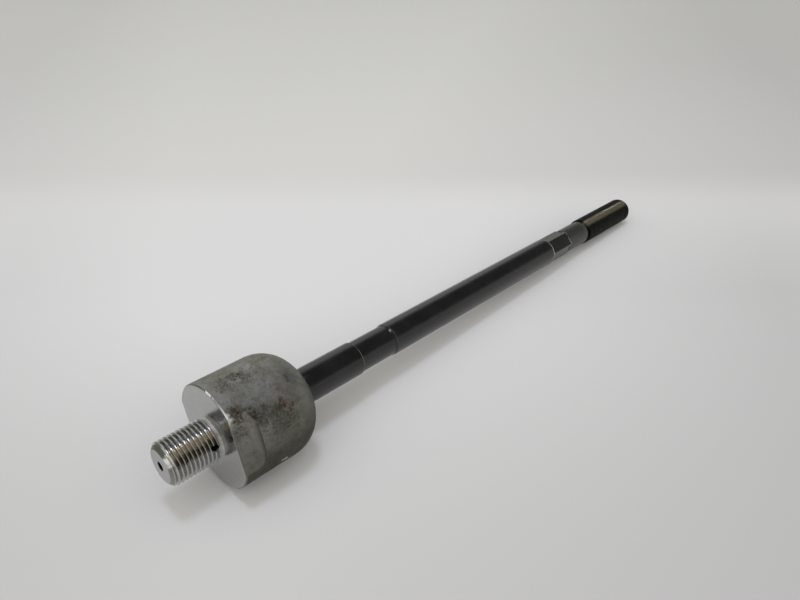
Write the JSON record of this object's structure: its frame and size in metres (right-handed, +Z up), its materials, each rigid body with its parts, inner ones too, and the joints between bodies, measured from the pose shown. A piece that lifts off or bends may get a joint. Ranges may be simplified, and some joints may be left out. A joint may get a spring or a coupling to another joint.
{
  "type": "inner tie rod",
  "caption": "Steering inner tie rod: a threaded stub on a domed socket housing that holds the ball of a black threaded rod.",
  "frame": {"origin": "centre of the base of the bounding box: the part lies on the floor, z = 0, on the rear edge of its housing and on the far end of its thread", "axes": "+X runs from the threaded stub to the far end of the rod, in plan; the common axis falls 2.77 degrees towards +X; +Z is up"},
  "size_m": [0.3072, 0.0396, 0.0405],
  "materials": {
    "housing_steel": "satin",
    "seat_resin": "satin",
    "spring_steel": "satin",
    "black_rod": "gloss"
  },
  "bodies": {
    "socket": {"socket_housing": "housing_steel", "preload_washer": "spring_steel"},
    "seat": {"ball_seat": "seat_resin"},
    "rod": {"ball_stud_rod": "black_rod"}
  },
  "joints": [
    {"name": "rod_spin", "type": "hinge", "parent": "socket", "child": "seat", "pos_m": [-0.11042, 0, 0.01967], "axis": [0.9988, 0, -0.0483], "continuous": true},
    {"name": "rod_swing", "type": "hinge", "parent": "seat", "child": "rod", "pos_m": [-0.11042, 0, 0.01967], "axis": [0.0483, 0, 0.9988], "range_deg": [-20, 20]}
  ]
}
